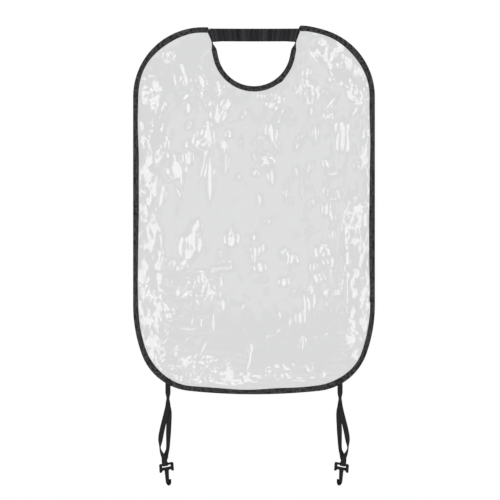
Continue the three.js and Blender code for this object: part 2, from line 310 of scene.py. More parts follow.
def swept_tube(rings, along, around):
    """Faces and corner UVs of a closed tube through rings[station][point], with flat ends."""
    count, points = rings.shape[:2]
    faces, uvs = [], []
    for i in range(count - 1):
        for j in range(points):
            k = (j + 1) % points
            faces.append((i * points + j, i * points + k, (i + 1) * points + k, (i + 1) * points + j))
            u0, u1, v0, v1 = along[i], along[i + 1], around[j], around[j + 1]
            uvs += [(u0, v0), (u0, v1), (u1, v1), (u1, v0)]
    last = (count - 1) * points
    faces.append(tuple(range(points)))
    uvs += [(along[0], around[j]) for j in range(points)]
    faces.append(tuple(last + j for j in reversed(range(points))))
    uvs += [(along[-1], around[j]) for j in reversed(range(points))]
    return faces, uvs


def tube_object(name, tubes, material):
    """One object from several closed tubes, each (rings, along, around)."""
    points, faces, uvs = [], [], []
    for rings, along, around in tubes:
        start = sum(len(p) for p in points)
        tube_faces, tube_uvs = swept_tube(rings, along, around)
        faces += [tuple(start + i for i in f) for f in tube_faces]
        uvs += tube_uvs
        points.append(rings.reshape(-1, 3))
    obj = make_object(name, np.concatenate(points), faces, material, np.array(uvs) * MM)
    face_outwards(obj)
    return obj


# ---------------------------------------------------------------- materials
def linear(hex_colour):
    """An sRGB hex colour as the linear values that shaders take."""
    def channel(c):
        return c / 12.92 if c <= 0.04045 else ((c + 0.055) / 1.055) ** 2.4

    return tuple(channel(int(hex_colour[i : i + 2], 16) / 255) for i in (1, 3, 5)) + (1.0,)


def add_node(tree, kind, inputs=None, **settings):
    """Adds one node. An input given as a node or a socket is linked, and any other value is set."""
    made = tree.nodes.new(kind)
    for key, value in settings.items():
        setattr(made, key, value)
    for key, value in (inputs or {}).items():
        if isinstance(value, bpy.types.Node):
            value = value.outputs[0]
        if isinstance(value, bpy.types.NodeSocket):
            tree.links.new(value, made.inputs[key])
        else:
            made.inputs[key].default_value = value
    return made


def new_material(name):
    material = bpy.data.materials.new(name)
    material.use_nodes = True
    material.node_tree.nodes.clear()
    return material, material.node_tree


def finish_material(tree, inputs):
    """Ends a material with one Principled shader that has those inputs."""
    shader = add_node(tree, "ShaderNodeBsdfPrincipled", inputs)
    add_node(tree, "ShaderNodeOutputMaterial", {"Surface": shader})


def facet_tilt(tree, place, crumple, size, strength):
    """Flat facets of that size where the film is crumpled, as a lean for the normal, away from the middle."""
    flat = add_node(tree, "ShaderNodeMapping", {"Vector": place, "Scale": (1.0, 0.0, 0.5)})
    cells = add_node(tree, "ShaderNodeTexVoronoi", {"Vector": flat, "Scale": 1 / size, "Randomness": 1.0})
    chance = add_node(tree, "ShaderNodeSeparateXYZ", {"Vector": cells.outputs["Color"]}).outputs
    level = add_node(tree, "ShaderNodeMath", {0: chance[2], 1: 0.92, 2: 0.05}, operation="MULTIPLY_ADD")
    turned_up = add_node(tree, "ShaderNodeMath", {0: crumple, 1: level}, operation="GREATER_THAN")
    across = add_node(tree, "ShaderNodeSeparateXYZ", {"Vector": place})
    from_middle = add_node(tree, "ShaderNodeMath", {0: across, 1: CRUMPLE_MIDDLE * MM}, operation="SUBTRACT")
    side = add_node(tree, "ShaderNodeMath", {0: from_middle}, operation="SIGN")
    reach = add_node(tree, "ShaderNodeMath", {0: chance[0], 1: 0.42, 2: 0.27}, operation="MULTIPLY_ADD")
    lean = add_node(tree, "ShaderNodeMath", {0: reach, 1: side}, operation="MULTIPLY")
    rise = add_node(tree, "ShaderNodeMath", {0: chance[1], 1: 0.44, 2: -0.2}, operation="MULTIPLY_ADD")
    tilt = add_node(tree, "ShaderNodeCombineXYZ", {"X": lean, "Z": rise})
    amount = add_node(tree, "ShaderNodeMath", {0: turned_up, 1: strength}, operation="MULTIPLY")
    return add_node(tree, "ShaderNodeVectorMath", {0: tilt, "Scale": amount}, operation="SCALE")


def clear_pvc_film(settings):
    """Calendered clear PVC, IOR 1.54: smoky where it is flat, bright where a crease turns to the light."""
    material, tree = new_material("clear_pvc_film")
    place = add_node(tree, "ShaderNodeTexCoord").outputs["Object"]
    # Crumpled stretches break into flat facets of 13 and 5.5 mm with bent edges.
    warp = add_node(tree, "ShaderNodeTexNoise", {"Vector": place, "Scale": 60, "Detail": 3})
    bent = add_node(
        tree,
        "ShaderNodeVectorMath",
        {0: warp.outputs["Color"], 1: (0.022, 0.022, 0.022), 2: place},
        operation="MULTIPLY_ADD",
    )
    crumple = add_node(tree, "ShaderNodeAttribute", attribute_name="crumple").outputs["Fac"]
    broad = facet_tilt(tree, bent, crumple, 0.013, 0.8)
    small = facet_tilt(tree, bent, crumple, 0.0055, 0.3)
    facing = add_node(tree, "ShaderNodeNewGeometry").outputs["Normal"]
    facets = add_node(tree, "ShaderNodeVectorMath", {0: broad, 1: small}, operation="ADD")
    turned_face = add_node(tree, "ShaderNodeVectorMath", {0: facets, 1: facing}, operation="ADD")
    leant = add_node(tree, "ShaderNodeVectorMath", {0: turned_face}, operation="NORMALIZE")
    # Crinkles of 3 to 9 mm, drawn out down the panel.
    long_way = add_node(tree, "ShaderNodeMapping", {"Vector": place, "Scale": (1.0, 1.0, 0.45)})
    crinkle = add_node(
        tree,
        "ShaderNodeTexNoise",
        {"Vector": long_way, "Scale": 150, "Detail": 3, "Roughness": 0.5, "Distortion": 0.6},
    )
    bump = add_node(
        tree, "ShaderNodeBump", {"Height": crinkle, "Strength": 1.0, "Distance": 0.00008, "Normal": leant}
    )
    look = {
        "Base Color": (*settings.colour, 1),
        "Roughness": settings.roughness,
        "IOR": 1.54,
        "Specular IOR Level": 1.0,
        "Alpha": settings.solidity,
        "Coat Weight": 1.0,
        "Coat Roughness": settings.roughness,
        "Coat IOR": 1.7,
        "Normal": bump,
        "Coat Normal": bump,
    }
    finish_material(tree, look)
    return material


# How each tape is woven. Pitches, heights and sizes in metres: rib_pitch is in the settings,
# rib_painted_shade is how strongly the rib height paints the yarn's colour, as painted shade in the grooves
# and a painted highlight on the crests, and rib_slant their lean. The mottle is the yarn's uneven shade, and
# the streaks its change from rib to rib. tones are the darkest and lightest shares of the yarn's colour.
# Real ribs, typically about 1 mm apart, are too fine to show, so all are drawn coarser.
BINDING_WEAVE = {
    "rib_height": 0.0003, "rib_painted_shade": 0.4, "rib_slant": 0.9, "wale_pitch": 0.0013,
    "mottle_size": 0.005, "mottle": 4.5, "streak_size": 0.03, "streak": 0.5, "tones": (0.12, 2.7),
}
STRAP_WEAVE = {
    "rib_height": 0.0002, "rib_painted_shade": 0.3, "rib_slant": 0.1, "wale_pitch": 0.0021,
    "mottle_size": 0.003, "mottle": 0.8, "streak_size": 0.013, "streak": 4.0, "tones": (0.1, 2.9),
}
LOOP_WEAVE = {
    "rib_height": 0.00015, "rib_painted_shade": 0.2, "rib_slant": 0.3, "wale_pitch": 0.0018,
    "mottle_size": 0.003, "mottle": 1.2, "streak_size": 0.02, "streak": 0.6, "tones": (0.45, 1.6),
}
YARN_FUZZ = 0.0024


def woven_tape(name, settings, weave):
    """Woven or knitted polyester on the piece's own UV map: matt, with cross ribs, uneven dark yarn, and
    painted shade in the rib grooves with a painted highlight on the crests.
    """
    material, tree = new_material(name)
    uv = add_node(tree, "ShaderNodeUVMap", uv_map="along_and_across")
    run, width = add_node(tree, "ShaderNodeSeparateXYZ", {"Vector": uv}).outputs[:2]
    rib_slant = weave["rib_slant"]
    slant = add_node(tree, "ShaderNodeMath", {0: width, 1: rib_slant, 2: run}, operation="MULTIPLY_ADD")
    waves = []
    for way, pitch in ((slant, settings.rib_pitch), (width, weave["wale_pitch"])):
        turn = add_node(tree, "ShaderNodeMath", {0: way, 1: math.tau / pitch}, operation="MULTIPLY")
        waves.append(add_node(tree, "ShaderNodeMath", {0: turn}, operation="SINE"))
    cloth = add_node(tree, "ShaderNodeMath", {0: waves[1], 1: 0.5, 2: waves[0]}, operation="MULTIPLY_ADD")
    along = add_node(tree, "ShaderNodeCombineXYZ", {"X": run})
    fuzz, mottle, streak = (
        add_node(
            tree, "ShaderNodeTexNoise", {"Vector": way, "Scale": 1 / size, "Detail": detail, "Roughness": 0.6}
        )
        for way, size, detail in (
            (uv, YARN_FUZZ, 4), (uv, weave["mottle_size"], 2), (along, weave["streak_size"], 5)
        )
    )
    height = add_node(tree, "ShaderNodeMath", {0: fuzz, 1: 1.2, 2: cloth}, operation="MULTIPLY_ADD")
    bump = add_node(
        tree, "ShaderNodeBump", {"Height": height, "Strength": 1.0, "Distance": weave["rib_height"]}
    )
    # Painted shade: the yarn colour is made darker where the ribs and fuzz sit low, and lighter on their
    # crests, as a painted highlight.
    rib_painted_shade = weave["rib_painted_shade"]
    shade = add_node(
        tree, "ShaderNodeMath", {0: height, 1: rib_painted_shade, 2: 0.5 - 0.6 * rib_painted_shade}, operation="MULTIPLY_ADD"
    )
    for noise, amount in ((mottle, weave["mottle"]), (streak, weave["streak"])):
        centred = add_node(tree, "ShaderNodeMath", {0: noise, 1: 0.5}, operation="SUBTRACT")
        shade = add_node(tree, "ShaderNodeMath", {0: centred, 1: amount, 2: shade}, operation="MULTIPLY_ADD")
    ramp = add_node(tree, "ShaderNodeValToRGB", {"Fac": shade})
    for stop, place, tone in zip(ramp.color_ramp.elements, (0, 1), weave["tones"]):
        stop.position = place
        stop.color = tuple(min(1, c * tone) for c in settings.colour[:3]) + (1,)
    look = {
        "Base Color": ramp,
        "Roughness": 0.8,
        "IOR": 1.45,
        "Specular IOR Level": 0.12,
        "Sheen Weight": 0.03,
        "Sheen Roughness": 0.5,
        "Normal": bump,
    }
    finish_material(tree, look)
    return material


def spun_thread(settings):
    """Spun polyester sewing thread: matt, with a fine twist and a little sheen."""
    material, tree = new_material("spun_polyester_thread")
    place = add_node(tree, "ShaderNodeTexCoord").outputs["Object"]
    fuzz = add_node(tree, "ShaderNodeTexNoise", {"Vector": place, "Scale": 2600, "Detail": 2})
    bump = add_node(tree, "ShaderNodeBump", {"Height": fuzz, "Strength": 0.6, "Distance": 0.0001})
    look = {"Base Color": (*settings.colour, 1), "Roughness": 0.55, "IOR": 1.5, "Sheen Weight": 0.3}
    finish_material(tree, {**look, "Normal": bump})
    return material


def moulded_acetal(settings):
    """Injection-moulded black acetal, IOR 1.48: smooth gloss over a very shallow flow texture."""
    material, tree = new_material("moulded_black_acetal")
    place = add_node(tree, "ShaderNodeTexCoord").outputs["Object"]
    flow = add_node(
        tree, "ShaderNodeTexNoise", {"Vector": place, "Scale": 260, "Detail": 4, "Roughness": 0.55}
    )
    bump = add_node(tree, "ShaderNodeBump", {"Height": flow, "Strength": 0.5, "Distance": 0.00012})
    rough = add_node(
        tree,
        "ShaderNodeMapRange",
        {"Value": flow, "From Min": 0.3, "From Max": 0.7, "To Min": 0.14, "To Max": 0.24},
    )
    look = {"Base Color": (*settings.colour, 1), "Roughness": rough, "IOR": 1.48, "Specular IOR Level": 0.06}
    finish_material(tree, {**look, "Normal": bump})
    return material


def pale_floor(colour):
    """Matt painted board, slightly mottled."""
    material, tree = new_material("matt_painted_board")
    place = add_node(tree, "ShaderNodeTexCoord").outputs["Object"]
    mottle = add_node(tree, "ShaderNodeTexNoise", {"Vector": place, "Scale": 3, "Detail": 3})
    darker = tuple(c * 0.97 for c in colour[:3]) + (1,)
    tint = add_node(tree, "ShaderNodeMix", {"Factor": mottle, "A": colour, "B": darker}, data_type="RGBA")
    finish_material(tree, {"Base Color": tint.outputs["Result"], "Roughness": 0.9})
    return material


# ---------------------------------------------------------------- film
# Creases that stand out on the hung film: middle x and z, width, length and lean, in mm and degrees.
# Lean is the turn of the long way from upright, top to the right.
CREASES = [
    (-167, -41, 14, 22, 0), (-138, -69, 9, 34, -10), (-133, -88, 12, 24, 10), (-155, -85, 6, 30, 0),
    (-102, -90, 12, 28, -24), (-104, -115, 4, 27, 0), (-133, -121, 10, 12, 30),
    (-125, -116, 4, 12, 70), (-128, -143, 10, 20, 0), (-126, -176, 10, 17, 25), (-94, -51, 4, 20, 0),
    (-67, -103, 10, 33, -22), (-85, -137, 10, 22, 0), (-71, -152, 16, 42, 0),
    (-54, -139, 13, 30, 35), (-20, -155, 7, 27, 25), (-48, -193, 9, 19, 0), (-90, -200, 15, 44, 0),
    (-105, -210, 18, 24, 50), (-96, -229, 14, 14, 0), (-27, -210, 5, 34, 0), (11, -210, 5, 39, 0),
    (34, -186, 13, 34, -4), (42, -213, 8, 42, -28), (49, -168, 7, 22, 25), (14, -117, 9, 14, 0),
    (34, -137, 12, 17, 40), (49, -127, 11, 24, 0), (68, -159, 6, 34, 0), (104, -73, 9, 24, 10),
    (99, -112, 9, 38, -8), (117, -117, 10, 34, 4), (109, -103, 9, 28, 78), (143, -112, 6, 24, -35),
    (148, -134, 7, 54, 43), (197, -149, 7, 29, 35), (146, -158, 9, 28, 50), (172, -180, 14, 29, -6),
    (173, -209, 12, 42, 2), (156, -224, 6, 29, 0), (85, -210, 7, 38, 10), (-54, -241, 7, 42, 0),
    (-56, -263, 6, 29, 20), (24, -237, 12, 28, 80), (24, -252, 14, 20, 70), (2, -268, 9, 17, 20),
    (35, -276, 8, 34, -5), (-86, -283, 10, 90, 0), (-100, -259, 7, 52, 15), (-150, -263, 22, 30, -20),
    (-128, -241, 12, 30, 0), (-74, -273, 5, 39, 20), (-180, -312, 9, 44, 10), (143, -251, 9, 20, -20),
    (151, -271, 9, 20, 70), (202, -254, 9, 22, 0), (108, -258, 8, 30, 25), (94, -302, 5, 44, 0),
    (146, -307, 13, 18, 30), (158, -314, 9, 26, -10), (199, -317, 7, 50, -52), (64, -307, 6, 30, 0),
    (11, -322, 7, 30, -8), (-184, -395, 10, 50, 0), (-113, -375, 14, 30, 15), (-125, -410, 22, 56, 10),
    (-142, -448, 16, 26, 35), (-44, -397, 16, 32, 0), (29, -363, 7, 15, -20), (0, -395, 10, 12, 0),
    (2, -424, 8, 28, 0), (-46, -446, 6, 30, -20), (12, -453, 13, 22, -20), (59, -421, 8, 20, 55),
    (75, -439, 10, 25, 0), (142, -341, 10, 30, 0), (153, -390, 6, 44, 0), (133, -424, 14, 30, -25),
    (145, -441, 10, 20, 0), (117, -453, 8, 30, 0), (58, -482, 11, 20, 0), (180, -439, 14, 30, 30),
    (109, -516, 10, 58, 5), (90, -550, 10, 34, -5), (70, -558, 7, 25, 0), (-79, -560, 7, 39, 0),
    (-103, -562, 6, 25, 10), (-59, -524, 10, 30, 10), (-101, -616, 8, 49, 25), (-8, -636, 7, 54, 8),
    (-5, -609, 10, 12, 0), (24, -592, 6, 30, 20), (95, -604, 7, 39, 0), (-152, -618, 10, 30, 0),
    (-169, -541, 15, 40, -20), (148, -526, 6, 25, -15),
]
# Long shallow wrinkles that lie across the sheet near its lower edge.
DRAPES = [
    (-150, -640, 12, 70, 97), (-90, -630, 14, 95, 84), (-40, -642, 11, 60, 95), (-125, -663, 13, 115, 100),
    (-20, -680, 12, 125, 96), (62, -668, 13, 60, 100), (112, -672, 12, 95, 84), (150, -655, 10, 60, 74),
    (-165, -602, 11, 60, 112), (-118, -575, 9, 70, 96), (20, -660, 9, 60, 88), (175, -620, 10, 60, 66),
    (-140, -548, 9, 70, 92), (175, -560, 8, 60, 100), (-95, -475, 9, 80, 97), (140, -585, 8, 50, 80),
    (-60, -455, 8, 60, 85), (120, -545, 7, 70, 93), (190, -455, 9, 50, 82), (-170, -505, 10, 50, 104),
]
# Where the panel was folded in its packet: height, first and last x, and how sharp.
FOLDS = [
    (-463, -215, -70, 1.0), (-460, 120, 222, 0.7), (-541, 100, 180, 0.7), (-577, -215, -105, 0.8),
    (-236, -180, -95, 0.9), (-99, 165, 225, 0.6),
]
# Crumpled stretches: middle x and z, half width and half height, and how strongly.
CRUMPLES = [
    (-202, -165, 34, 82, 1.0), (-212, -300, 22, 90, 1.0), (-206, -430, 27, 80, 1.0),
    (-204, -530, 26, 62, 0.9), (-200, -600, 30, 48, 0.7), (152, -28, 40, 30, 1.0), (184, -66, 36, 34, 1.0),
    (204, -105, 26, 28, 0.9),
    (107, -108, 26, 26, 0.6), (203, -405, 34, 80, 1.0), (207, -520, 28, 72, 1.0), (203, -592, 26, 44, 0.7),
    (-120, -645, 75, 20, 0.5), (-60, -668, 90, 14, 0.6), (90, -655, 70, 16, 0.45), (-100, -490, 60, 30, 0.25),
    (150, -480, 50, 30, 0.25), (220, -200, 14, 60, 0.6), (-80, -225, 30, 26, 0.3), (20, -250, 24, 20, 0.3),
]
CREASE_TILT = 0.43
DRAPE_TILT = 0.4
FACET_WIDTH = 15
FACET_HEIGHT = 30
FACETS_FROM = (-250, -715)
FACETS_OVER = (500, 740)
CALM_FACETS = (0.02, 1.4)
ROUGH_FACETS = (0.08, 0.9)
FOLD_HEIGHT = 1.9
FOLD_REACH = 4.5
PUCKER_HEIGHT = 0.5


def crease_height(x, z, creases):
    """Each crease is a leaning slat of film, turned to its left and let back to flat at its edges."""
    height = np.zeros(len(x))
    for cx, cz, width, length, lean, tilt in creases:
        near = np.nonzero((abs(x - cx) < length + width) & (abs(z - cz) < length + width))[0]
        turn = math.radians(lean)
        dx, dz = x[near] - cx, z[near] - cz
        across = dx * math.cos(turn) - dz * math.sin(turn)
        along = dx * math.sin(turn) + dz * math.cos(turn)
        # The slat is widest a little above its middle and ends in points.
        taper = 1 - 0.45 * np.clip(abs(along) / (length / 2), 0, 1) ** 2
        u = across / (width / 2 * taper * 1.6)
        v = along / (length / 2 * 1.15)
        height[near] += tilt * across * np.exp(-(u**4)) * np.exp(-(v**4))
    return height


def facet_height(x, z, rng, reach, squeeze):
    """Crumpled film: flat facets about scattered middles, each tilted its own way."""
    width, tall = FACET_WIDTH * squeeze, FACET_HEIGHT * squeeze
    nx, nz = int(FACETS_OVER[0] / width) + 2, int(FACETS_OVER[1] / tall) + 2
    gx, gz = np.meshgrid(np.arange(nx), np.arange(nz), indexing="ij")
    mx = FACETS_FROM[0] + (gx + rng.uniform(-0.45, 0.45, gx.shape)) * width
    mz = FACETS_FROM[1] + (gz + rng.uniform(-0.45, 0.45, gx.shape)) * tall
    tx, tz = rng.normal(0, 1, gx.shape), rng.normal(0, 0.6, gx.shape)
    tx = np.where(mx > CRUMPLE_MIDDLE, -tx, tx)
    ix = np.clip(((x - FACETS_FROM[0]) / width).round().astype(int), 1, nx - 2)
    iz = np.clip(((z - FACETS_FROM[1]) / tall).round().astype(int), 1, nz - 2)
    total, weight = np.zeros(len(x)), np.full(len(x), 1e-9)
    for ox in (-1, 0, 1):
        for oz in (-1, 0, 1):
            cx, cz = mx[ix + ox, iz + oz], mz[ix + ox, iz + oz]
            dx, dz = x - cx, z - cz
            far = (dx / width) ** 2 + (dz / tall) ** 2
            w = np.exp(-far * 6.5)
            total += w * (tx[ix + ox, iz + oz] * dx + tz[ix + ox, iz + oz] * dz)
            weight += w
    return reach * total / weight


def film_height(x, z, inside, along, settings):
    """How far the film stands forward of its plane, and how crumpled it is.

    inside is the distance in from the cut edge, and along the distance round it.
    """
    rng = np.random.default_rng(settings.seed)
    hold = smooth_step((inside - 8) / 10)
    crumple = np.zeros(len(x))
    for cx, cz, wide, tall, strength in CRUMPLES:
        far = ((x - cx) / wide) ** 2 + ((z - cz) / tall) ** 2
        crumple = np.maximum(crumple, strength * smooth_step((1.35 - far) / 0.6))
    broad = 1.6 * np.sin(x / 62 + 0.7) * np.sin(z / 95 + 0.4) + 1.1 * np.sin(z / 47 + x / 130)
    calm = facet_height(x, z, rng, *CALM_FACETS)
    rough = facet_height(x, z, rng, *ROUGH_FACETS)
    named = [c + (CREASE_TILT,) for c in CREASES] + [c + (DRAPE_TILT,) for c in DRAPES]
    small = []
    for _ in range(settings.small_creases):
        cx, cz = rng.uniform(-225, 225), rng.uniform(-690, 5)
        width = rng.uniform(4, 8)
        lean = rng.normal(0, 22)
        small.append((cx, cz, width, width * rng.uniform(1.6, 4.5), lean, rng.uniform(0.26, 0.46)))
    folds = np.zeros(len(x))
    for fz, x0, x1, sharp in FOLDS:
        line = fz + 1.5 * np.sin(x / 23) + 1.0 * np.sin(x / 9.1)
        reach = smooth_step((x - x0) / 15) * smooth_step((x1 - x) / 15)
        folds += sharp * FOLD_HEIGHT * reach * np.exp(-abs(z - line) / FOLD_REACH)
    # The seam gathers the film beside the tape.
    gathers = np.sin(along / 5.3 + 1.7 * np.sin(along / 31))
    pucker = PUCKER_HEIGHT * gathers * np.exp(-((inside - 13) / 9) ** 2)
    height = broad + calm + rough * crumple + folds
    height += crease_height(x, z, named) * (1 - 0.5 * crumple) + crease_height(x, z, small)
    height = hold * height + pucker * smooth_step((inside - 9) / 3)
    return settings.wrinkle_scale * height, crumple


def film_cells(ring, step):
    """Square cells cut to the ring: points in the plane, faces, and each point's nearest ring point."""
    tree = KDTree(len(ring))
    for i, p in enumerate(ring):
        tree.insert((p[0], p[1], 0), i)
    tree.balance()
    xs = np.arange(-HALF_WIDTH - step, HALF_WIDTH + 1.5 * step, step)
    zs = np.arange(BOTTOM_Z - step, TOP_Z + 1.5 * step, step)
    following = np.roll(ring, -1, 0)
    inside = np.zeros((len(xs), len(zs)), bool)
    for k, z in enumerate(zs):
        cut = (ring[:, 1] > z) != (following[:, 1] > z)
        a, b = ring[cut], following[cut]
        hits = a[:, 0] + (z - a[:, 1]) / (b[:, 1] - a[:, 1]) * (b[:, 0] - a[:, 0])
        inside[:, k] = (hits[None, :] > xs[:, None]).sum(1) % 2 == 1
    signed = np.zeros(inside.shape)
    moved = np.stack(np.meshgrid(xs, zs, indexing="ij"), -1)
    for i, x in enumerate(xs):
        for k, z in enumerate(zs):
            near, _, far = tree.find((x, z, 0))
            signed[i, k] = far if inside[i, k] else -far
            if far < step * 0.3:
                moved[i, k] = near.x, near.y
                signed[i, k] = 0
    points, faces, known = [], [], {}

    def point(p):
        key = (round(p[0] * 20), round(p[1] * 20))
        if key not in known:
            known[key] = len(points)
            points.append((p[0], p[1]))
        return known[key]

    for i in range(len(xs) - 1):
        for k in range(len(zs) - 1):
            corners = [(i, k), (i + 1, k), (i + 1, k + 1), (i, k + 1)]
            depths = [signed[c] for c in corners]
            if max(depths) <= 0:
                continue
            face = []
            for a in range(4):
                b = (a + 1) % 4
                if depths[a] >= 0:
                    face.append(point(moved[corners[a]]))
                if depths[a] * depths[b] < 0:
                    share = depths[a] / (depths[a] - depths[b])
                    face.append(point(moved[corners[a]] * (1 - share) + moved[corners[b]] * share))
            face = [v for n, v in enumerate(face) if v != face[n - 1]]
            if len(set(face)) > 2:
                faces.append(tuple(face))
    points = np.array(points)
    nearest = np.array([tree.find((p[0], p[1], 0))[1:] for p in points])
    return points, faces, nearest


def film_shell(points, faces, y, thickness):
    """The closed shell of the sheet: a front, a back, and a wall round the cut edge."""
    count = len(points)
    front = np.column_stack([points[:, 0], y - thickness / 2, points[:, 1]])
    back = np.column_stack([points[:, 0], y + thickness / 2, points[:, 1]])
    edges = set()
    for face in faces:
        for a, b in zip(face, face[1:] + face[:1]):
            if (b, a) in edges:
                edges.remove((b, a))
            else:
                edges.add((a, b))
    walls = [(b, a, a + count, b + count) for a, b in edges]
    backs = [tuple(v + count for v in reversed(f)) for f in faces]
    return np.concatenate([front, back]), list(faces) + backs + walls


# ---------------------------------------------------------------- bindings
# Half of the folded tape's section: way in from the edge, and how far it stands out of the tape's plane.
BINDING_CROWN = [
    (10.0, -0.28), (9.75, -0.05), (9.1, 0.12), (8.2, 0.1), (7.5, -0.12), (6.8, 0.1), (5.6, 0.26), (3.8, 0.34),
    (2.0, 0.3), (0.9, 0.12),
]
BINDING_FOLD = [(0.35, -0.12), (0.05, -0.5)]
TAPE_END_AT = 1290
TAPE_END_LENGTH = 15
NECK_JOINT_X = 47
BINDING_INSIDE = [(10.0, 1.38), (7.5, 1.42), (4.0, 1.35), (1.6, 1.3), (1.0, 1.5)]


def binding_section():
    """Closed section of the folded tape as (inset, y): front, fold, rear, and back along the inside."""
    front = [(v, BINDING_FRONT_Y - out) for v, out in BINDING_CROWN + BINDING_FOLD]
    rear = [(v, 2 * FILM_Y - y) for v, y in reversed(front)]
    inside = [(v, 2 * FILM_Y - y) for v, y in BINDING_INSIDE] + [(0.85, FILM_Y)] + BINDING_INSIDE[::-1]
    return np.array(front + rear + inside)


def wander(rng, lengths, count, heights, reaches):
    """A sum of slow waves of random height and reach along a sewn edge."""
    return sum(
        rng.uniform(*heights) * np.sin(lengths / rng.uniform(*reaches) + rng.uniform(0, 6))
        for _ in range(count)
    )


def binding_tape(name, paths_of, material, seed, neck=False):
    """A length of tape folded over the film's edge. It wanders a little, as it was sewn on by hand."""
    section = binding_section()
    stations = paths_of(section[:, 0])
    edge, rim = np.moveaxis(paths_of([0.0, BINDING_WIDTH]), 1, 0)
    inwards_way = (rim - edge) / BINDING_WIDTH
    lengths = run_lengths(stations[:, 0])
    rng = np.random.default_rng(seed)
    waves = wander(rng, lengths, 6, (0.1, 0.25), (9, 40))
    widen = wander(rng, lengths, 5, (0.3, 0.6), (18, 60)) * 0.75 + 0.4
    lift = np.zeros(len(lengths))
    if neck:
        # The tape's two ends meet in a small step, right of the lowest point.
        step = np.exp(-(((edge[:, 0] - NECK_JOINT_X) / 4) ** 2)) * (edge[:, 1] < -60)
        widen = widen * 0.5 + 1.7 * step
    else:
        # The tape's end laps over its start.
        lap = (lengths > TAPE_END_AT) & (lengths < TAPE_END_AT + TAPE_END_LENGTH)
        lift = 0.55 * lap
        widen = widen + 1.1 * lap
    rings = np.zeros((len(lengths), len(section), 3))
    for j, (v, y) in enumerate(section):
        inner = smooth_step((v - 1) / 8)
        shift = widen * v / BINDING_WIDTH
        if neck:
            shift = shift + neck_pull(edge[:, 1], v)
        place = stations[:, j] + inwards_way * shift[:, None]
        rings[:, j, 0] = place[:, 0]
        rings[:, j, 2] = place[:, 1] + horn_lift(place[:, 0], place[:, 1])
        side = -1 if y < FILM_Y else 1
        stand = abs(y - FILM_Y) > 0.8
        rings[:, j, 1] = y + side * stand * (0.12 * waves * (1 - inner) + lift)
    around = run_lengths(np.vstack([section, section[:1]]))
    return tube_object(name, [(rings, lengths, around)], material)


# ---------------------------------------------------------------- stitches
def stitch_tree():
    """Geometry Nodes: one rounded stitch at each step along the seam, lying along it."""
    tree = bpy.data.node_groups.new("lockstitch_seam", "GeometryNodeTree")
    face = tree.interface
    face.new_socket("Seam", in_out="INPUT", socket_type="NodeSocketGeometry")
    for label in ("Stitch Length", "Stitch Share", "Thread Diameter"):
        face.new_socket(label, in_out="INPUT", socket_type="NodeSocketFloat")
    face.new_socket("Thread", in_out="INPUT", socket_type="NodeSocketMaterial")
    face.new_socket("Stitches", in_out="OUTPUT", socket_type="NodeSocketGeometry")
    given = add_node(tree, "NodeGroupInput").outputs
    seam = add_node(tree, "GeometryNodeMeshToCurve", {"Mesh": given["Seam"]})
    cut = add_node(
        tree, "GeometryNodeResampleCurve", {"Curve": seam, "Length": given["Stitch Length"]}, mode="LENGTH"
    )
    run = add_node(
        tree, "ShaderNodeMath", {0: given["Stitch Length"], 1: given["Stitch Share"]}, operation="MULTIPLY"
    )
    size = add_node(
        tree,
        "ShaderNodeCombineXYZ",
        {"X": run, "Y": given["Thread Diameter"], "Z": given["Thread Diameter"]},
    )
    bead = add_node(tree, "GeometryNodeMeshUVSphere", {"Segments": 8, "Rings": 6, "Radius": 0.5})
    lying = add_node(tree, "GeometryNodeTransform", {"Geometry": bead, "Rotation": (0, math.pi / 2, 0)})
    stitch = add_node(tree, "GeometryNodeTransform", {"Geometry": lying, "Scale": size})
    way = add_node(tree, "GeometryNodeInputTangent")
    turn = add_node(tree, "FunctionNodeAlignRotationToVector", {"Vector": way}, axis="X")
    placed = add_node(
        tree, "GeometryNodeInstanceOnPoints", {"Points": cut, "Instance": stitch, "Rotation": turn}
    )
    real = add_node(tree, "GeometryNodeRealizeInstances", {"Geometry": placed})
    threaded = add_node(tree, "GeometryNodeSetMaterial", {"Geometry": real, "Material": given["Thread"]})
    add_node(tree, "NodeGroupOutput", {"Stitches": threaded})
    return tree


def sewn(name, seams, tree, settings, thread, length=None):
    """A seam of stitches along polylines given in mm, as one plain mesh."""
    points, edges = [], []
    for seam in seams:
        start = len(points)
        points += [tuple(p) for p in np.asarray(seam) * MM]
        edges += [(i, i + 1) for i in range(start, len(points) - 1)]
    mesh = bpy.data.meshes.new(name + "_path")
    mesh.from_pydata(points, edges, [])
    path = add_object(name + "_path", mesh)
    modifier = path.modifiers.new("stitches", "NODES")
    modifier.node_group = tree
    sockets = {s.name: s.identifier for s in tree.interface.items_tree if s.in_out == "INPUT"}
    modifier[sockets["Stitch Length"]] = length or settings.stitch_length
    modifier[sockets["Stitch Share"]] = settings.stitch_share
    modifier[sockets["Thread Diameter"]] = settings.thread_diameter
    modifier[sockets["Thread"]] = thread
    evaluated = path.evaluated_get(bpy.context.evaluated_depsgraph_get())
    made = bpy.data.meshes.new_from_object(evaluated)
    if not made.polygons:
        raise RuntimeError(f"{name}: the seam made no stitches")
    path.modifiers.remove(modifier)
    bpy.data.objects.remove(path)
    made.name = name
    made.polygons.foreach_set("use_smooth", [True] * len(made.polygons))
    return add_object(name, made)


STRAP_TACK_STITCH = 0.0016
LOOP_TACK_STITCH = 0.0015
LOOP_TACK_Y = -2.42


def zigzag(start, end, half, pitch):
    """A zigzag of that half width between two points, for a tack sewn over and over."""
    start, end, half = np.array(start, float), np.array(end, float), np.array(half, float)
    count = max(4, int(np.linalg.norm(end - start) / pitch))
    return [start + (end - start) * i / count + half * (1 if i % 2 else -1) for i in range(count + 1)]


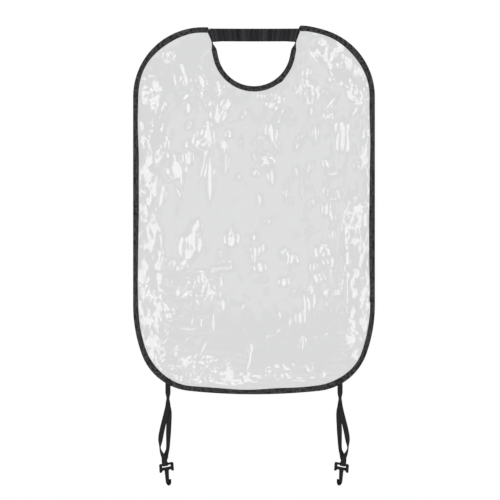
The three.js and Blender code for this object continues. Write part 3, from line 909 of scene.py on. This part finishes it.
# ---------------------------------------------------------------- elastic
def rounded_section(width, thickness, ribs=0, rib_depth=0.0):
    """A tape's section: (across, through) points round a flat form with round edges."""
    half, thin = width / 2, thickness / 2
    run = np.linspace(-(half - thin), half - thin, 15)
    wave = rib_depth * np.cos(run / (half - thin) * math.pi * ribs) if ribs else np.zeros(len(run))
    top = [(a, thin - rib_depth + w) for a, w in zip(run, wave)]
    bottom = [(a, -thin + rib_depth - w) for a, w in zip(run[::-1], wave[::-1])]
    turn = [(half - thin * (1 - math.sin(t)), thin * math.cos(t)) for t in (0.8, 1.57, 2.34)]
    back = [(-a, -b) for a, b in turn]
    return np.array(top + turn + bottom + back)


def through_points(points, step):
    """Catmull-Rom through rows of numbers whose first three are a place, cut to about that step."""
    p = np.array(points, float)
    p = np.vstack([2 * p[0] - p[1], p, 2 * p[-1] - p[-2]])
    rows = []
    for i in range(1, len(p) - 2):
        count = max(2, int(round(np.linalg.norm(p[i + 1, :3] - p[i, :3]) / step)))
        spans = [max(1e-6, np.linalg.norm(p[k + 1, :3] - p[k, :3]) ** 0.5) for k in (i - 1, i, i + 1)]
        t0 = 0.0
        t1 = t0 + spans[0]
        t2 = t1 + spans[1]
        t3 = t2 + spans[2]
        for t in np.linspace(t1, t2, count, endpoint=False):
            a1 = (t1 - t) / (t1 - t0) * p[i - 1] + (t - t0) / (t1 - t0) * p[i]
            a2 = (t2 - t) / (t2 - t1) * p[i] + (t - t1) / (t2 - t1) * p[i + 1]
            a3 = (t3 - t) / (t3 - t2) * p[i + 1] + (t - t2) / (t3 - t2) * p[i + 2]
            b1 = (t2 - t) / (t2 - t0) * a1 + (t - t0) / (t2 - t0) * a2
            b2 = (t3 - t) / (t3 - t1) * a2 + (t - t1) / (t3 - t1) * a3
            rows.append((t2 - t) / (t2 - t1) * b1 + (t - t1) / (t2 - t1) * b2)
    rows.append(p[-2])
    return np.array(rows)


def tape_rings(rows, section):
    """Rings of the section along rows of place (3) and width direction (3)."""
    place, wide = rows[:, :3], rows[:, 3:6]
    tangent = np.gradient(place, axis=0)
    tangent /= np.linalg.norm(tangent, axis=1)[:, None]
    wide = wide - (wide * tangent).sum(1)[:, None] * tangent
    wide /= np.linalg.norm(wide, axis=1)[:, None]
    thin = np.cross(tangent, wide)
    return place[:, None] + section[None, :, :1] * wide[:, None] + section[None, :, 1:] * thin[:, None]


def strap_half(side, settings, material):
    """Half of the neck strap, from its oblique sewn end to the middle, with cross ribs."""
    pitch = settings.rib_pitch / MM
    half, thin = STRAP_HALF_HEIGHT, STRAP_THICKNESS / 2
    section = rounded_section(2 * half, STRAP_THICKNESS)
    far = flank_x(0, STRAP_LAP)
    share = np.linspace(0, 1, int(far / pitch * 5) + 1)
    rings = np.zeros((len(share), len(section), 3))
    lengths = share * far
    for j, (across, through) in enumerate(section):
        # The strap spreads a little where it is sewn down.
        spread = 1 + 0.1 * smooth_step((lengths - 62) / 22)
        edge = np.clip((half - abs(across)) / 2, 0, 1)
        rib = 0.14 * edge * np.sin(lengths / pitch * math.tau) * np.sign(through)
        groove = -0.22 * math.exp(-((across / 1.3) ** 2)) * np.sign(through)
        sag = -0.35 * np.sin(share * math.pi / 2 + math.pi / 2)
        z = across * np.where(across < 0, spread, 1) + sag
        end_x = flank_x(across, STRAP_LAP)
        rings[:, j, 0] = side * share * end_x
        rings[:, j, 1] = -thin + through + rib + groove
        rings[:, j, 2] = z
    around = run_lengths(np.vstack([section, section[:1]]))
    name = f"neck_strap_{'left' if side < 0 else 'right'}_half"
    return tube_object(name, [(rings, lengths, around)], material)


# How far the two layers turn together below the root: height, and angle in radians.
STACK_TURN = [
    (LOOP_END_HEIGHT + 1.45, 0), (8, 0), (0, 0), (-6, 0.05), (-12, 0.2), (-17, 0.75), (-22, 1.05),
    (-28, 0.8), (-36, 0.25),
]
# Each strand's middle: out from the root, drop below the waist, and the share of its width that shows.
OUTER_STRAND = [
    (3.0, 28, 1), (10.9, 59.8, 1), (14.1, 76.8, 0.97), (15.3, 96, 0.3), (13.9, 102.5, 0.5),
    (11.0, 109.5, 0.8), (7.8, 116, 0.97),
]
INNER_STRAND = [
    (-2.3, 28, 1), (-1.3, 59.8, 1), (-0.7, 76.8, 0.9), (0.0, 94, 0.74), (1.0, 102, 0.72), (3.2, 108.5, 0.9),
    (4.9, 116, 0.98),
]
# Beside the bar, seen along it: forward or back, and up.
BIGHT_SIDE = [(1.5, 7.8), (2.5, 4.6), (3.2, 1.2)]
BIGHT_RADIUS = 3.22


def turned(x, y, z):
    """The hook's turn in its loop: roll, then pitch, then yaw."""
    return Matrix.Rotation(y, 3, "Y") @ Matrix.Rotation(x, 3, "X") @ Matrix.Rotation(z, 3, "Z")


def root_pivot_z():
    """Height in mm of the axis that each loop swings about at its sewn root."""
    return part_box("left_loop_neck")[1].z / MM + STACK_Y


def loop_rows(side):
    """Middle line and width direction of one loop's tape, from its front end to its rear end, in mm."""
    root = np.array([side * ROOT_X, 0, root_pivot_z()])
    layer = (LOOP_TAPE_THICKNESS + TAPE_GAP) / 2

    def stacked(front, z, angle):
        wide = np.array([side * math.cos(angle), math.sin(angle), 0])
        thin = np.array([-side * math.sin(angle), math.cos(angle), 0])
        return [*(root + [0, STACK_Y, z] + thin * layer * (-1 if front else 1)), *wide]

    def strand(front, out, drop, share):
        angle = math.acos(share)
        wide = np.array([side * math.cos(angle), math.sin(angle), 0])
        y = STACK_Y + layer * (-1 if front else 1)
        return [*(root + [side * out, y, -WAIST_DROP - drop]), *wide]

    pitch, roll, yaw = HOOK_TURN
    bight = np.array(turned(pitch, side * roll, side * yaw) @ Matrix.Rotation(-pitch, 3, "X"))
    bar = root + [side * HOOK_OUTSET, STACK_Y, -WAIST_DROP - HOOK_DROP]

    def beside(y, z):
        return [*(bar + bight @ [side * BIGHT_SHIFT, y, z]), *(bight @ [side, 0, 0])]

    down = [stacked(True, z, a) for z, a in STACK_TURN]
    down += [strand(True, *s) for s in OUTER_STRAND]
    down += [beside(-y, z) for y, z in BIGHT_SIDE]
    turns = np.linspace(0.15, math.pi - 0.15, 7)
    arc = [beside(-BIGHT_RADIUS * math.cos(t), -BIGHT_RADIUS * math.sin(t)) for t in turns]
    up = [beside(y, z) for y, z in reversed(BIGHT_SIDE)]
    up += [strand(False, *s) for s in reversed(INNER_STRAND)]
    up += [stacked(False, z, a) for z, a in reversed(STACK_TURN)]
    return through_points(down + arc + up, 1.6)


def loop_pieces(name, side, material):
    """The loop's tape, cut where one body's stretch meets the next."""
    rows = loop_rows(side)
    section = rounded_section(LOOP_TAPE_WIDTH, LOOP_TAPE_THICKNESS, 4, 0.06)
    rings = tape_rings(rows, section)
    along = run_lengths(rows[:, :3])
    around = run_lengths(np.vstack([section, section[:1]]))
    pivot = root_pivot_z()
    level = np.digitize(-rows[:, 2], [8.5 - pivot, WAIST_DROP + 12 - pivot])
    pieces = []
    for stretch, label in enumerate(("sewn_end", "waist", "strands")):
        tubes, start = [], None
        member = level == stretch
        # Below the sewn end, each stretch also takes one ring of its neighbours.
        lap = 1 if stretch > 0 else 0
        for i in range(len(rows) + 1):
            if i < len(rows) and member[i]:
                start = i if start is None else start
            elif start is not None:
                cut = slice(max(0, start - lap), min(len(rows), i + lap))
                tubes.append((rings[cut], along[cut], around))
                start = None
        pieces.append(tube_object(f"{name}_loop_{label}", tubes, material))
    return pieces


# ---------------------------------------------------------------- settings
def length_setting(name, description, default):
    return FloatProperty(name=name, description=description, default=default, unit="LENGTH")


def colour_setting(description, hex_colour):
    return FloatVectorProperty(
        name="Colour", description=description, subtype="COLOR", default=linear(hex_colour)[:3]
    )


class ProtectorFilmSettings(bpy.types.PropertyGroup):
    cell: length_setting("Cell", "Size of the sheet's mesh cells", 0.0025)
    thickness: length_setting("Thickness", "Film thickness", 0.0004)
    wrinkle_scale: FloatProperty(name="Wrinkles", description="Share of the wrinkles' height", default=1.0)
    small_creases: IntProperty(name="Small creases", description="Count of scattered creases", default=300)
    seed: IntProperty(name="Seed", description="Start of the wrinkles' random numbers", default=11)
    roughness: FloatProperty(name="Roughness", description="Roughness of the film's faces", default=0.1)
    solidity: FloatProperty(name="Solidity", description="Share of light that one face stops", default=0.214)
    colour: colour_setting("The film's own tint", "#5c5e5f")


class ProtectorTapeSettings(bpy.types.PropertyGroup):
    station: length_setting("Station", "Step along the binding", 0.0025)
    rib_pitch: length_setting("Rib pitch", "Between the binding's ribs", 0.0034)
    colour: colour_setting("Binding yarn", "#262627")


class ProtectorStitchSettings(bpy.types.PropertyGroup):
    stitch_length: length_setting("Stitch", "Length of one stitch", 0.0032)
    stitch_share: FloatProperty(name="Share", description="Share of the step under thread", default=0.88)
    thread_diameter: length_setting("Thread", "Thread diameter", 0.0006)
    colour: colour_setting("Thread", "#242425")


class ProtectorStrapSettings(bpy.types.PropertyGroup):
    rib_pitch: length_setting("Rib pitch", "Between the strap's ribs", 0.0033)
    colour: colour_setting("Strap elastic", "#18181a")


class ProtectorLoopSettings(bpy.types.PropertyGroup):
    rib_pitch: length_setting("Rib pitch", "Between the tape's ribs", 0.0014)
    colour: colour_setting("Loop elastic", "#1d1d1e")


class ProtectorHookSettings(bpy.types.PropertyGroup):
    voxel: length_setting("Detail", "Cell that rounds the moulding", 0.00035)
    smoothing: IntProperty(name="Rounding", description="Passes that round the edges", default=5)
    colour: colour_setting("Hook plastic", "#09090a")


class ProtectorStageSettings(bpy.types.PropertyGroup):
    lens: FloatProperty(name="Lens", description="Camera lens in mm", default=85)
    shown_width: length_setting("View", "Width in view at the panel", 0.975)
    fill: FloatProperty(name="Fill", description="Strength of the room's soft light", default=0.58)
    softbox: FloatProperty(name="Softboxes", description="Brightness of the softboxes' faces", default=4.6)
    floor_drop: length_setting("Floor", "Height of the floor", -1.25)
    colour: colour_setting("Floor paint", "#f4f4f4")


# ---------------------------------------------------------------- operators
class PROTECTOR_OT_film(bpy.types.Operator):
    """Makes the wrinkled clear sheet"""

    bl_idname = "protector.film"
    bl_label = "Film"

    def execute(self, context):
        settings = context.scene.protector_film
        ring = film_outline(1.0)
        along = run_lengths(ring)
        points, faces, nearest = film_cells(ring, settings.cell / MM)
        inside = nearest[:, 1] + FILM_INSET
        along = along[nearest[:, 0].astype(int)]
        height, crumple = film_height(points[:, 0], points[:, 1], inside, along, settings)
        shell, shell_faces = film_shell(points, faces, FILM_Y - height, settings.thickness / MM)
        sheet = make_object("clear_film_sheet", shell, shell_faces, clear_pvc_film(settings))
        face_outwards(sheet)
        crumpled = sheet.data.attributes.new("crumple", "FLOAT", "POINT")
        crumpled.data.foreach_set("value", np.concatenate([crumple, crumple]).astype(np.float32))
        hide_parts("clear_panel")
        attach(sheet, "root")
        return {"FINISHED"}


class PROTECTOR_OT_bindings(bpy.types.Operator):
    """Makes the two lengths of folded tape round the film"""

    bl_idname = "protector.bindings"
    bl_label = "Bindings"

    def execute(self, context):
        settings = context.scene.protector_tape
        step = settings.station / MM
        tape = woven_tape("woven_polyester_binding", settings, BINDING_WEAVE)
        outer = binding_tape("outer_binding_tape", lambda v: outer_paths(v, step), tape, seed=5)
        end_z = TOP_Z - BINDING_WIDTH - TAPE_GAP
        neck = binding_tape(
            "neck_binding_tape", lambda v: neck_paths(v, step, lambda _: end_z), tape, seed=8, neck=True
        )
        for obj, node in ((outer, "outer_binding"), (neck, "neck_binding")):
            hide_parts(node)
            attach(obj, "root")
        return {"FINISHED"}


class PROTECTOR_OT_stitches(bpy.types.Operator):
    """Sews the bindings, front and rear, and tacks the strap and the loops"""

    bl_idname = "protector.stitches"
    bl_label = "Stitches"

    def execute(self, context):
        settings = context.scene.protector_stitch
        tree = stitch_tree()
        thread = spun_thread(settings)
        outer = outer_paths([THREAD_INSET], 1.0)[2:-2, 0]
        neck = neck_paths([THREAD_INSET], 1.0, lambda _: TOP_Z - BINDING_WIDTH - 1.5)[:, 0]
        neck[:, 0] += np.sign(neck[:, 0]) * neck_pull(neck[:, 1], THREAD_INSET)
        for label, path in (("outer", outer), ("neck", neck)):
            for kind, y in (("needle", BINDING_FRONT_Y + 0.02), ("bobbin", BINDING_REAR_Y - 0.02)):
                seam = np.column_stack([path[:, 0], np.full(len(path), y), path[:, 1]])
                obj = sewn(f"{label}_{kind}_stitches", [seam], tree, settings, thread)
                self.fix(obj, f"{label}_{kind}_thread")
        pivot = root_pivot_z()
        for name, side in (("left", -1), ("right", 1)):
            half = STRAP_HALF_HEIGHT - 1.6
            front = -STRAP_THICKNESS - 0.1
            seams = []
            for inset in (STRAP_LAP - 2.2, STRAP_LAP - 4.2):
                top = (side * flank_x(half, inset), front, half)
                low = (side * flank_x(-half, inset), front, -half)
                seams.append(zigzag(top, low, (0.8, 0, 0), 0.9))
            tack = sewn(f"{name}_strap_tack_stitches", seams, tree, settings, thread, STRAP_TACK_STITCH)
            self.fix(tack, f"{name}_strap_tack")
            level = pivot + LOOP_END_HEIGHT - LOOP_TACK_DROP + 0.6
            seams = []
            for drop in (0, 3.4):
                start = (side * ROOT_X - 4, LOOP_TACK_Y, level - drop)
                end = (side * ROOT_X + 4, LOOP_TACK_Y, level - drop)
                seams.append(zigzag(start, end, (0, 0, 0.75), 0.8))
            tack = sewn(f"{name}_loop_tack_stitches", seams, tree, settings, thread, LOOP_TACK_STITCH)
            self.fix(tack, f"{name}_loop_tack")
        return {"FINISHED"}

    def fix(self, obj, node):
        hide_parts(node)
        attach(obj, "root")


class PROTECTOR_OT_strap(bpy.types.Operator):
    """Makes the ribbed elastic strap across the neck cut"""

    bl_idname = "protector.strap"
    bl_label = "Neck strap"

    def execute(self, context):
        settings = context.scene.protector_strap
        elastic = woven_tape("ribbed_knitted_elastic", settings, STRAP_WEAVE)
        for name, side in (("left", -1), ("right", 1)):
            obj = strap_half(side, settings, elastic)
            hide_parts(f"neck_strap_{name}", "neck_strap_middle")
            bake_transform(obj)
        return {"FINISHED"}


class PROTECTOR_OT_loops(bpy.types.Operator):
    """Makes the two elastic loops, each of one length of tape round its hook's bar"""

    bl_idname = "protector.loops"
    bl_label = "Loops"

    def execute(self, context):
        settings = context.scene.protector_loop
        elastic = woven_tape("narrow_woven_elastic", settings, LOOP_WEAVE)
        pivot = root_pivot_z()
        waist = pivot - WAIST_DROP
        bar = waist - HOOK_DROP
        for name, side in (("left", -1), ("right", 1)):
            end, turn, strands = loop_pieces(name, side, elastic)
            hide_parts(f"{name}_loop_end", f"{name}_loop_neck")
            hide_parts(f"{name}_loop_neck")
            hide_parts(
                f"{name}_loop_outer_strand", f"{name}_loop_inner_strand", f"{name}_loop_bight"
            )
            spans = (
                (end, "root", f"{name}_loop_neck", pivot + 2, pivot - 8),
                (turn, f"{name}_loop_neck", f"{name}_loop", waist + 12, waist - 11),
                (strands, f"{name}_loop", f"{name}_bight", waist - 13, bar + 9),
            )
            for obj, a, b, high, low in spans:
                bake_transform(obj)
        return {"FINISHED"}


WELD_DISTANCE = 1e-6
SOFTEN_SHARE = 0.5


class PROTECTOR_OT_hooks(bpy.types.Operator):
    """Makes the two moulded hooks, with rounded edges and a raised rim"""

    bl_idname = "protector.hooks"
    bl_label = "Hooks"

    def execute(self, context):
        settings = context.scene.protector_hook
        plastic = moulded_acetal(settings)
        for name in ("left", "right"):
            mesh = frame["nodes"][f"{name}_hook"].data.copy()
            mesh.materials.clear()
            mesh.materials.append(plastic)
            obj = add_object(f"{name}_hook_moulding", mesh)
            bm = bmesh.new()
            bm.from_mesh(mesh)
            bmesh.ops.remove_doubles(bm, verts=bm.verts, dist=WELD_DISTANCE)
            bm.to_mesh(mesh)
            bm.free()
            remesh = obj.modifiers.new("round", "REMESH")
            remesh.mode = "VOXEL"
            remesh.voxel_size = settings.voxel
            remesh.use_smooth_shade = True
            soften = obj.modifiers.new("soften", "SMOOTH")
            soften.factor = SOFTEN_SHARE
            soften.iterations = settings.smoothing
            evaluated = obj.evaluated_get(context.evaluated_depsgraph_get())
            made = bpy.data.meshes.new_from_object(evaluated)
            obj.modifiers.clear()
            obj.data = made
            made.polygons.foreach_set("use_smooth", [True] * len(made.polygons))
            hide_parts(f"{name}_hook")
            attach(obj, f"{name}_hook")
        return {"FINISHED"}


CAMERA_X, CAMERA_Z = -0.0078, -0.4193
LIT_POINT = (0, 0, -0.36)
# Each softbox: name, place, width, height, share of the full brightness.
SOFTBOXES = (
    ("softbox_left", (-2.6, -2.5, -0.4), 2.0, 3.0, 0.8),
    ("softbox_upper_left", (-1.7, -2.4, 1.9), 1.8, 1.5, 0.85),
    ("softbox_top", (0.5, -2.5, 2.2), 2.2, 1.0, 0.5),
    ("softbox_right", (2.5, -2.5, -0.2), 1.8, 2.8, 0.8),
    ("softbox_front", (0.0, -3.2, -0.2), 1.1, 1.2, 0.17),
    ("softbox_rear", (1.8, 3.0, 1.0), 1.6, 1.6, 0.6),
)


class PROTECTOR_OT_stage(bpy.types.Operator):
    """Sets the camera, the softboxes, the room light and the floor"""

    bl_idname = "protector.stage"
    bl_label = "Stage"

    def execute(self, context):
        settings = context.scene.protector_stage
        scene = context.scene
        scene.view_settings.view_transform = "Standard"
        self.camera(scene, settings)
        self.room(scene, settings)
        for name, place, width, height, share in SOFTBOXES:
            self.softbox(name, Vector(place), width, height, settings.softbox * share)
        self.floor(settings)
        return {"FINISHED"}

    def camera(self, scene, settings):
        data = bpy.data.cameras.new("studio_camera")
        data.lens = settings.lens
        data.sensor_width = 36
        camera = add_object("studio_camera", data)
        distance = settings.shown_width * settings.lens / data.sensor_width
        camera.location = (CAMERA_X, -distance, CAMERA_Z)
        camera.rotation_euler = (math.pi / 2, 0, 0)
        scene.camera = camera

    def room(self, scene, settings):
        world = bpy.data.worlds.new("white_room")
        world.use_nodes = True
        tree = world.node_tree
        tree.nodes.clear()
        path = add_node(tree, "ShaderNodeLightPath")
        soft = add_node(tree, "ShaderNodeBackground", {"Color": (1, 1, 1, 1), "Strength": settings.fill})
        white = add_node(tree, "ShaderNodeBackground", {"Color": (1, 1, 1, 1), "Strength": 1.0})
        mix = add_node(tree, "ShaderNodeMixShader", {0: path.outputs["Is Camera Ray"], 1: soft, 2: white})
        add_node(tree, "ShaderNodeOutputWorld", {"Surface": mix})
        scene.world = world

    def softbox(self, name, place, width, height, brightness):
        data = bpy.data.lights.new(name, "AREA")
        data.shape = "RECTANGLE"
        data.size, data.size_y = width, height
        data.energy = brightness * width * height * math.pi
        light = add_object(name, data)
        light.location = place
        light.rotation_euler = (Vector(LIT_POINT) - place).to_track_quat("-Z", "Y").to_euler()
        light.visible_camera = False
        light.visible_transmission = False

    def floor(self, settings):
        mesh = bpy.data.meshes.new("floor_board")
        bm = bmesh.new()
        bmesh.ops.create_circle(bm, cap_ends=True, segments=96, radius=1.2)
        bmesh.ops.translate(bm, verts=bm.verts, vec=(0, 0, settings.floor_drop))
        bm.to_mesh(mesh)
        bm.free()
        mesh.materials.append(pale_floor((*settings.colour, 1)))
        floor = add_object("floor_board", mesh)


class PROTECTOR_PT_panel(bpy.types.Panel):
    """Lists the protector's settings and pieces"""

    bl_label = "Seat-back protector"
    bl_idname = "PROTECTOR_PT_panel"
    bl_space_type = "VIEW_3D"
    bl_region_type = "UI"
    bl_category = "Protector"

    def draw(self, context):
        for (name, settings), operator in zip(SETTINGS.items(), OPERATORS):
            box = self.layout.box()
            group = getattr(context.scene, name)
            for key in settings.__annotations__:
                box.prop(group, key)
            box.operator(operator.bl_idname)


SETTINGS = {
    "protector_film": ProtectorFilmSettings,
    "protector_tape": ProtectorTapeSettings,
    "protector_stitch": ProtectorStitchSettings,
    "protector_strap": ProtectorStrapSettings,
    "protector_loop": ProtectorLoopSettings,
    "protector_hook": ProtectorHookSettings,
    "protector_stage": ProtectorStageSettings,
}
OPERATORS = (
    PROTECTOR_OT_film,
    PROTECTOR_OT_bindings,
    PROTECTOR_OT_stitches,
    PROTECTOR_OT_strap,
    PROTECTOR_OT_loops,
    PROTECTOR_OT_hooks,
    PROTECTOR_OT_stage,
)


def register():
    for name, settings in SETTINGS.items():
        bpy.utils.register_class(settings)
        setattr(bpy.types.Scene, name, PointerProperty(type=settings))
    for kind in (*OPERATORS, PROTECTOR_PT_panel):
        bpy.utils.register_class(kind)


def unregister():
    for kind in reversed((*OPERATORS, PROTECTOR_PT_panel)):
        bpy.utils.unregister_class(kind)
    for name, settings in SETTINGS.items():
        delattr(bpy.types.Scene, name)
        bpy.utils.unregister_class(settings)


def main():
    for old in list(bpy.data.objects):
        if old.name in ("Cube", "Light", "Camera"):
            bpy.data.objects.remove(old)
    register()
    bpy.ops.protector.film()
    bpy.ops.protector.bindings()
    bpy.ops.protector.stitches()
    bpy.ops.protector.strap()
    bpy.ops.protector.loops()
    bpy.ops.protector.hooks()
    bpy.ops.protector.stage()


if __name__ == "__main__":
    main()
